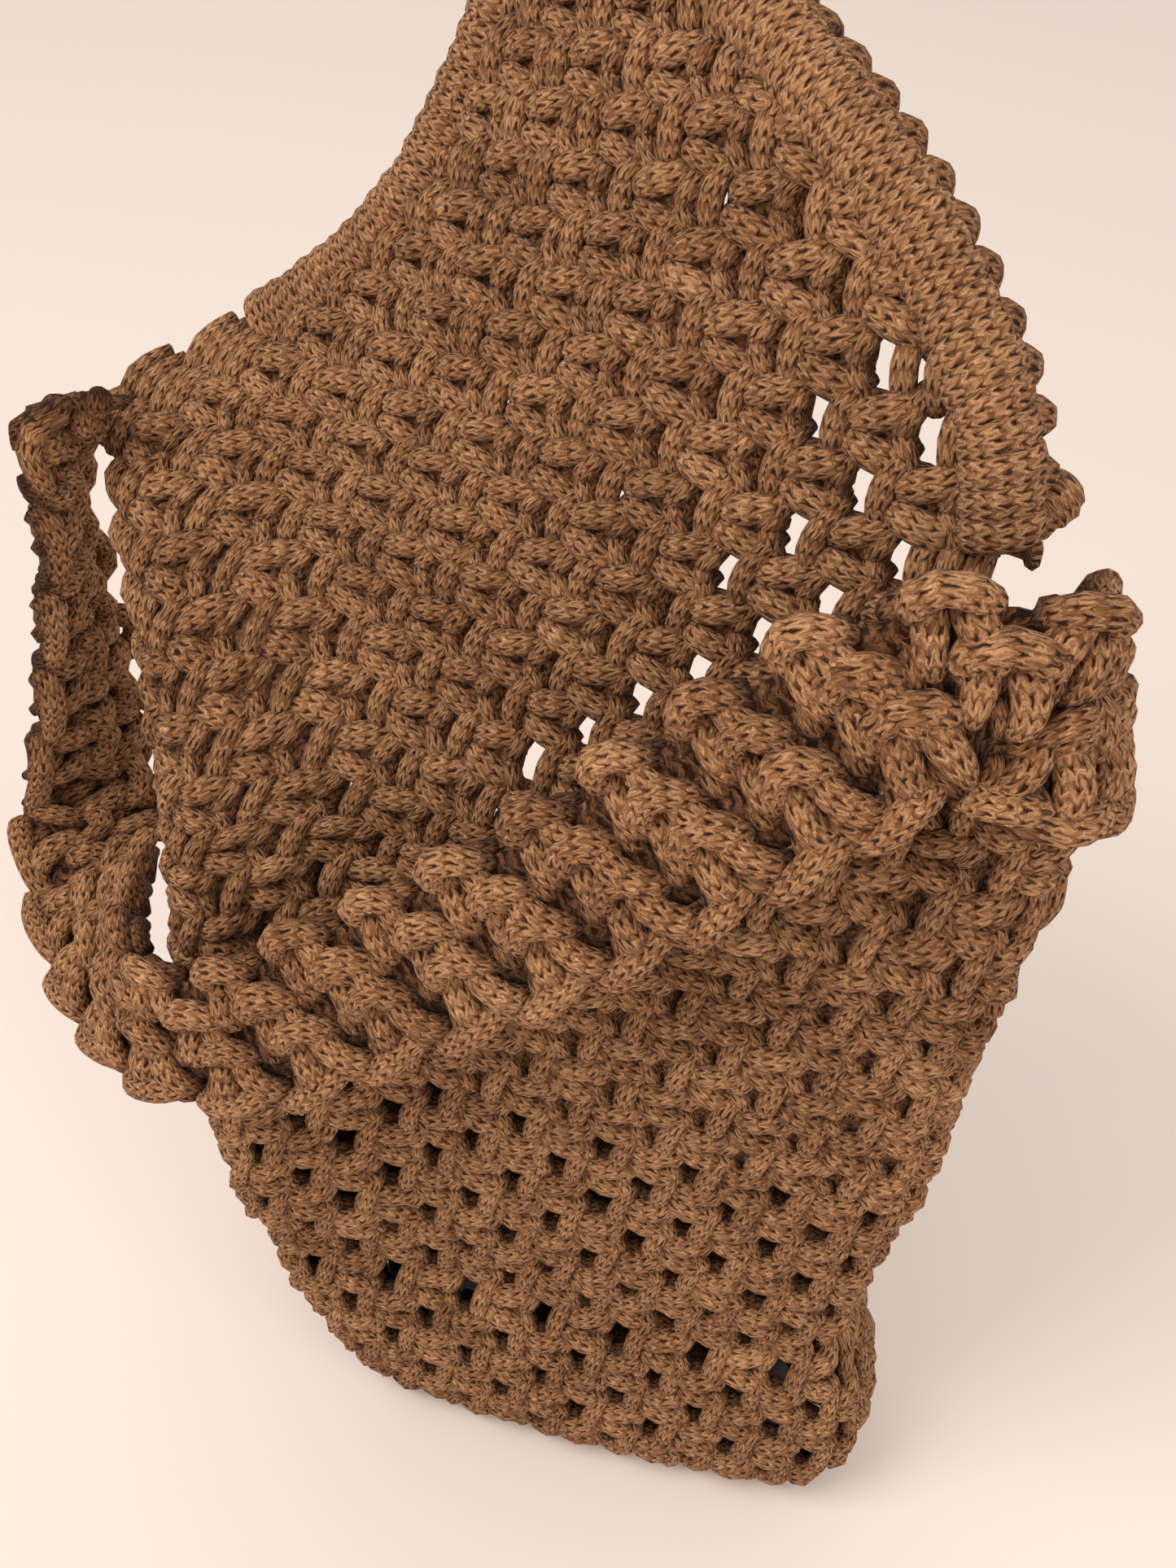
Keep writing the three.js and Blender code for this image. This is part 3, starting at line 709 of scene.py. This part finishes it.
frontKnots(frontHeap)
frontPiece = frontHeap.build("front_wall_knots", wallCord)
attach(frontPiece, "root")
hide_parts("front_panel")

# bottom, in millimetres
bottom = {"halfWidth": 48.0, "margin": 7.0, "knotMiddle": 6.5, "middle": (-0.5, -6.0)}
baseHeap = Heap()


def onFloor(row, s):
    def place(p):
        x = bottom["middle"][0] + s + p[:, 0]
        y = bottom["middle"][1] - (row * bag["rowPitch"] + p[:, 1])
        return np.stack([x, y, -p[:, 2]], 1)
    return place


for n in range(-1, 2):
    for k in range(-3, 3):
        s = k * bag["knotPitch"] + (bag["knotPitch"] / 2 if n % 2 else 0)
        if abs(s + bottom["knotMiddle"]) < bottom["halfWidth"] - bottom["margin"]:
            addKnot(baseHeap, onFloor(n, s), frontShapes["plain"])
basePiece = baseHeap.build("bottom_knots", wallCord)
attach(basePiece, "root")
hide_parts("base_panel")


# wound rim of the flap
def rimLine():
    inner = -bag["wall"] / 2
    tip = sectionAt(bag["tipRow"])
    middle = wallSheet.at(np.array([bag["tipRow"]]), np.array([(tip[6] + tip[7]) / 2]), np.array([inner]))[0]
    points = [edgePoint(rim["leftStart"], "left", inner)]
    points += [edgePoint(r, "left", inner) for r in range(29, 38)]
    points += [middle] + [edgePoint(r, "right", inner) for r in range(37, 27, -1)]
    return points


def evenLine(points, step):
    # even places along a line in millimetres, and the way it runs there
    _, length = throughPoints(points, np.array([0.0]))
    count = max(2, int(round(length / step)))
    place, _ = throughPoints(points, np.linspace(0, 1, count + 1))
    tangent = np.gradient(place, axis=0)
    tangent /= np.linalg.norm(tangent, axis=1, keepdims=True)
    return place, tangent, length


def rimFaces():
    # out of the flap's face all along the rim
    place, tangent, length = evenLine(rimLine(), 1.0)
    firstOfFlap = int(bag["cornerRow"] / bag["rowStep"])
    grid = wallSheet.table[firstOfFlap:].reshape(-1, 3)
    normals = wallSheet.normals[firstOfFlap:].reshape(-1, 3)
    out = np.zeros_like(place)
    for n, p in enumerate(place):
        out[n] = normals[((grid - p) ** 2).sum(1).argmin()]
    for _ in range(rim["smoothing"]):
        out[1:-1] = (out[:-2] + out[1:-1] + out[2:]) / 3
    out -= tangent * (out * tangent).sum(1)[:, None]
    out /= np.linalg.norm(out, axis=1, keepdims=True)
    return place, out, np.cross(out, tangent), length


rimPlace, rimOut, rimSide, rimLength = rimFaces()
rimHeap = Heap()


def ropeMesh(heap, points, half, tone, sides=8, facing=None, halfDeep=None):
    # a cord along many points, with closed ends; facing is the way its flat side looks
    p = np.array(points)
    tube = unitTube(sides, len(p) - 1)
    along, angle, faces = tube
    at = np.round(along * (len(p) - 1)).astype(int)
    tangent = np.gradient(p, axis=0)
    tangent /= np.linalg.norm(tangent, axis=1, keepdims=True)
    side = np.zeros_like(p)
    if facing is None:
        ref = np.cross(tangent[0], [0.3, 0.5, 0.8])
        for n in range(len(p)):
            ref = ref - tangent[n] * ref.dot(tangent[n])
            ref /= np.linalg.norm(ref)
            side[n] = ref
    else:
        side = np.cross(facing, tangent)
        side /= np.linalg.norm(side, axis=1, keepdims=True)
    depth = np.cross(tangent, side)
    run = np.concatenate([[0], np.cumsum(np.linalg.norm(np.diff(p, axis=0), axis=1))])
    place = p[at] + side[at] * (np.cos(angle) * half)[:, None]
    place += depth[at] * (np.sin(angle) * (halfDeep or half))[:, None]
    heap.add(place, faces, cordUv(faces, angle, run[at]), tone)


def rimSample(at):
    # place, outward and sideways directions at points along the rim's line
    k = np.arange(len(rimPlace))
    grids = (rimPlace, rimOut, rimSide)
    return [np.stack([np.interp(at, k, grid[:, c]) for c in range(3)], 1) for grid in grids]


def windRim():
    turnCount = int(rimLength // rim["wrap"])
    t = np.linspace(0, 1, turnCount * rim["stepsPerTurn"] + 1)
    place, out, side = rimSample(t * (len(rimPlace) - 1))
    angle = 2 * np.pi * turnCount * t
    radial = side * np.cos(angle)[:, None] + out * np.sin(angle)[:, None]
    wobble = 1 + 0.03 * np.sin(angle * 0.37) + 0.03 * np.sin(angle * 0.231 + 2)
    coil = place + side * (np.cos(angle) * rim["halfWidth"] * wobble)[:, None]
    coil += out * (np.sin(angle) * rim["halfDepth"] * wobble)[:, None]
    ropeMesh(rimHeap, coil, rim["cordWide"], rim["tone"], 8, radial, rim["cordDeep"])


windRim()


def rimBumps():
    # the loops of the outermost knots, behind the winding
    for n in range(int(rimLength // rim["bumpPitch"])):
        middle = (n + 0.5) * rim["bumpPitch"] + chance.normal(0, 0.3)
        place, out, side = rimSample(middle + np.array(rim["bumpAlong"]))
        loop = place + side * np.array(rim["bumpAcross"])[:, None] + out * np.array(rim["bumpDeep"])[:, None]
        fine, _ = throughPoints(loop, np.linspace(0, 1, 8))
        ropeMesh(rimHeap, fine, rim["bumpRadius"], chance.normal(rim["bumpTone"], 0.02), 8)


rimBumps()
# the rim's core cord, painted darker as shade
ropeMesh(rimHeap, rimPlace[::4], rim["coreRadius"], rim["coreShade"])
rimPiece = rimHeap.build("wound_rim", wallCord)
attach(rimPiece, "root")
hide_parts("flap_rim")

# strap
# x, y, z as shares of bodyWidth, bodyDepth and bodyHeight, then the way its width points
strapTable = [
    [-0.822, 0.83, 1.315, -0.2, 0.8, -0.55],
    [-0.872, 0.78, 1.305, -0.07, 0.9, -0.4],
    [-0.893, 0.74, 1.235, -0.38, 0.9, -0.2],
    [-0.893, 0.7, 1.147, -0.38, 0.9, -0.19],
    [-0.888, 0.66, 1.05, -0.18, 0.98, -0.12],
    [-0.878, 0.62, 0.92, 0.11, 0.98, -0.15],
    [-0.862, 0.51, 0.795, 0.5, 0.82, -0.1],
    [-0.82, 0.22, 0.73, 0.62, 0.55, 0.4],
    [-0.712, -0.27, 0.765, 0.5, 0.15, 0.85],
    [-0.59, -0.6, 0.81, 0.1, 0.1, 0.97],
    [-0.45, -0.65, 0.860, -0.30, 0.20, 0.90],
    [-0.30, -0.59, 0.970, -0.48, 0.20, 0.82],
    [-0.15, -0.57, 1.090, -0.58, 0.20, 0.77],
    [-0.01, -0.55, 1.225, -0.65, 0.25, 0.69],
    [0.11, -0.54, 1.360, -0.60, 0.28, 0.70],
    [0.21, -0.53, 1.460, -0.42, 0.25, 0.85],
    [0.300, -0.50, 1.490, -0.22, 0.15, 0.96],
    [0.367, -0.42, 1.450, -0.32, 0.10, 0.94],
    [0.399, -0.185, 1.400, -0.38, 0.10, 0.91],
    [0.410, 0.05, 1.367, -0.38, 0.15, 0.91],
    [0.39, 0.23, 1.33, -0.30, 0.20, 0.92],
]


def strapSurface():
    stations = np.array(strapTable)
    middle = stations[:, :3] * [bag["bodyWidth"], bag["bodyDepth"], bag["bodyHeight"]]
    _, length = throughPoints(middle, np.array([0.0]))
    t = np.linspace(0, 1, int(length) + 1)
    place, _ = throughPoints(middle, t)
    chords = np.concatenate([[0], np.cumsum(np.linalg.norm(np.diff(middle, axis=0), axis=1))])
    run = t * chords[-1]
    width = np.stack([np.interp(run, chords, stations[:, 3 + k]) for k in range(3)], 1)
    for _ in range(12):
        width[1:-1] = (width[:-2] + width[1:-1] * 2 + width[2:]) / 4
    tangent = np.gradient(place, axis=0)
    tangent /= np.linalg.norm(tangent, axis=1, keepdims=True)
    width -= tangent * (width * tangent).sum(1)[:, None]
    width /= np.linalg.norm(width, axis=1, keepdims=True)
    return place, tangent, width, np.cross(tangent, width)


strapPlace, strapTangent, strapAcross, strapOut = strapSurface()


def strapEdge(v):
    # length along the strap, measured v millimetres above its middle line, at each point of that line
    line = strapPlace + strapAcross * v + strapOut * bag["wall"] / 2
    return np.concatenate([[0], np.cumsum(np.linalg.norm(np.diff(line, axis=0), axis=1))])


def onStrap(run, start, middle):
    # knots work along the strap with their bars toward its upper edge; they keep their size where it bends
    k = np.arange(len(strapPlace))
    edge = strapEdge(middle)
    stretch = np.clip(np.interp(run, k, np.gradient(edge)), 0.6, 2.2)

    def place(p):
        u = run + p[:, 1] / stretch
        inside = np.clip(u, 0, len(strapPlace) - 1)
        sample = lambda grid: np.stack([np.interp(inside, k, grid[:, c]) for c in range(3)], 1)
        past = (u - inside)[:, None] * sample(strapTangent)
        v = start - p[:, 0]
        return sample(strapPlace) + past + sample(strapAcross) * v[:, None] \
            + sample(strapOut) * (bag["wall"] / 2 + p[:, 2])[:, None]
    return place


# in millimetres: where strands start and have their middle across the strap, then their phase along it
strap = {
    "period": 21.0,
    "upperKnots": (16.2, 9.2, 0.30),
    "lowerKnots": (-2.2, -9.2, 0.30),
    "betweenKnots": (6.8, 0.0, 0.80),
    "lowerCord": (-15.6, -16.0, 0.78),
    "upperCord": (14.4, 14.0, 0.80),
    "upperCordEnd": 0.86,  # share of the strap's length, because the cord ends at the right corner
    "coreHalf": 13.5,
    "coreDeep": 1.3,
    # painted shade on the cords inside the strap
    "coreShade": -0.34,
}
# its knots stand across the strap: an arch over two legs, and two small strands tucked between the legs
strapKnot = {
    "arch": [[(6.0, -6.2, -6.0), (2.4, -6.2, -2.2), (-0.8, -4.4, 0.6), (-2.2, -1.1, 1.5), (-0.8, 2.2, 0.6),
              (2.4, 4.0, -2.2), (5.0, 4.6, -6.0)], 3.1, 2.9],
    "legLeft": [[(0.6, -2.8, -5.2), (3.4, -3.6, -2.1), (7.4, -4.4, -0.6), (11.4, -5.2, -1.9),
                 (14.2, -5.8, -5.8)], 3.1, 2.9],
    "legRight": [[(0.8, 0.6, -4.6), (3.6, 1.8, -1.2), (7.4, 3.6, 0.3), (11.4, 5.6, -1.2),
                  (14.0, 7.0, -5.4)], 3.2, 2.9],
    "tuckUp": [[(8.4, -1.6, -6.0), (10.4, -0.6, -3.6), (12.4, 0.8, -2.8), (14.8, 2.6, -3.6),
                (16.6, 4.6, -6.2)], 2.8, 2.5],
    "tuckLow": [[(8.6, -9.4, -6.0), (11.0, -8.8, -3.5), (13.4, -9.2, -3.2), (16.0, -10.0, -6.0)], 2.8, 2.5],
}
lowerEdge = {"cord": [[(1.6, -10.4, -6.0), (2.9, -8.6, -2.9), (2.4, -4.0, -1.6), (1.2, 1.0, -1.5),
                       (0.0, 6.0, -2.4), (-1.2, 10.6, -5.6)], 3.2, 3.0]}
upperEdge = {"cord": [[(1.6, -7.0, -6.6), (0.2, -4.0, -4.4), (-0.4, 0.0, -3.6), (0.0, 4.0, -4.4),
                       (1.4, 7.2, -6.6)], 2.7, 2.4]}
strapShapes = knotStrands(strapKnot, fineTube)
lowerShapes = knotStrands(lowerEdge, fineTube, 0.2)
upperShapes = knotStrands(upperEdge, fineTube)


def addStrand(heap, mapping, shapes):
    for place, faces, uv in shapes:
        moved = place + chance.normal(0, 0.25, 3)
        slide = patternSlide()
        # random tone plus painted shade where the strand dives deep
        heap.add(mapping(moved), faces, uv + slide, chance.normal(0, 0.02) + depthShade(moved[:, 2]))


def alongStrap(middle, phase):
    # evenly spaced places, counted along the line on which the middles of the knots lie
    edge = strapEdge(middle)
    count = int(round(edge[-1] / strap["period"]))
    return np.interp((np.arange(count) + phase) * edge[-1] / count, edge, np.arange(len(strapPlace)))


def knotStrap(heap):
    for name in ("upperKnots", "lowerKnots", "betweenKnots"):
        start, middle, phase = strap[name]
        for run in alongStrap(middle, phase):
            addKnot(heap, onStrap(run, start, middle), strapShapes, high=shade["strapHigh"])
    start, middle, phase = strap["lowerCord"]
    for run in alongStrap(middle, phase):
        addStrand(heap, onStrap(run, start, middle), lowerShapes)
    start, middle, phase = strap["upperCord"]
    for run in alongStrap(middle, phase):
        if run < strap["upperCordEnd"] * len(strapPlace):
            addStrand(heap, onStrap(run, start, middle), upperShapes)


strapHeap = Heap()
knotStrap(strapHeap)
# the cords running inside it, painted darker as shade
ropeMesh(strapHeap, strapPlace[::5], strap["coreHalf"], strap["coreShade"], 10,
         strapOut[::5], strap["coreDeep"])
strapPiece = strapHeap.build("knotted_strap", strapCord)
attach(strapPiece, "root")
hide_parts("shoulder_strap")

# knot in the end of the rim's cord, in millimetres
knob = {"nearer": 3.2, "turns": 3.4, "wide": 2.7, "long": 2.6, "cord": 2.4, "axis": (0.62, 0.62, 0.48)}
endHeap = Heap()
low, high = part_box("rim_end")
endMiddle = (np.array(low) + np.array(high)) * 500 - [knob["nearer"], 0, 0]  # snug against the winding


def knobCoil():
    t = np.linspace(0, 1, 70)
    angle = t * 2 * np.pi * knob["turns"]
    lift = (t - 0.5) * 2
    wide = knob["wide"] * np.sqrt(np.maximum(1 - (lift * 0.92) ** 2, 0.05))
    axis = np.array(knob["axis"])
    side = np.cross(axis, [0, 0, 1.0])
    side /= np.linalg.norm(side)
    third = np.cross(axis, side)
    return endMiddle + axis * (lift * knob["long"])[:, None] + side * (np.cos(angle) * wide)[:, None] \
        + third * (np.sin(angle) * wide)[:, None]


ropeMesh(endHeap, knobCoil(), knob["cord"], 0.0)
endPiece = endHeap.build("rim_end_knot", wallCord)
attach(endPiece, "root")
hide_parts("rim_end")
print("bag made")

# floor and light; lamps have a place and a size in metres, and a power
studio = {
    "floor": (0.88, 0.775, 0.71, 1),
    "floorHalf": 6,
    "world": (1.0, 0.95, 0.91, 1),
    "worldPower": 0.78,
    "lampColour": (1.0, 0.95, 0.9),
    "lampTarget": (-0.03, 0, 0.18),
    "lamps": {"key": ((-0.7, -0.5, 1.3), 0.7, 10.0), "fill": ((1.0, -0.8, 0.9), 0.9, 5.5)},
}


def makeStudio():
    bm = bmesh.new()
    bmesh.ops.create_grid(bm, x_segments=1, y_segments=1, size=studio["floorHalf"])
    mesh = bpy.data.meshes.new("floor")
    bm.to_mesh(mesh)
    bm.free()
    floor = bpy.data.objects.new("floor", mesh)
    bpy.context.scene.collection.objects.link(floor)
    paint = bpy.data.materials.new("floor")
    paint.use_nodes = True
    shader = paint.node_tree.nodes["Principled BSDF"]
    shader.inputs["Base Color"].default_value = studio["floor"]
    shader.inputs["Roughness"].default_value = 0.9
    mesh.materials.append(paint)
    world = bpy.data.worlds.new("studio")
    world.use_nodes = True
    world.node_tree.nodes["Background"].inputs[0].default_value = studio["world"]
    world.node_tree.nodes["Background"].inputs[1].default_value = studio["worldPower"]
    bpy.context.scene.world = world
    bpy.context.scene.view_settings.view_transform = "Standard"
    for name, (place, size, power) in studio["lamps"].items():
        lamp = bpy.data.lights.new(name, "AREA")
        lamp.size = size
        lamp.energy = power
        lamp.color = studio["lampColour"]
        light = bpy.data.objects.new(name, lamp)
        light.location = place
        light.rotation_mode = "QUATERNION"
        aim = Vector(studio["lampTarget"]) - Vector(place)
        light.rotation_quaternion = aim.to_track_quat("-Z", "Y")
        bpy.context.scene.collection.objects.link(light)


makeStudio()
print("studio made")
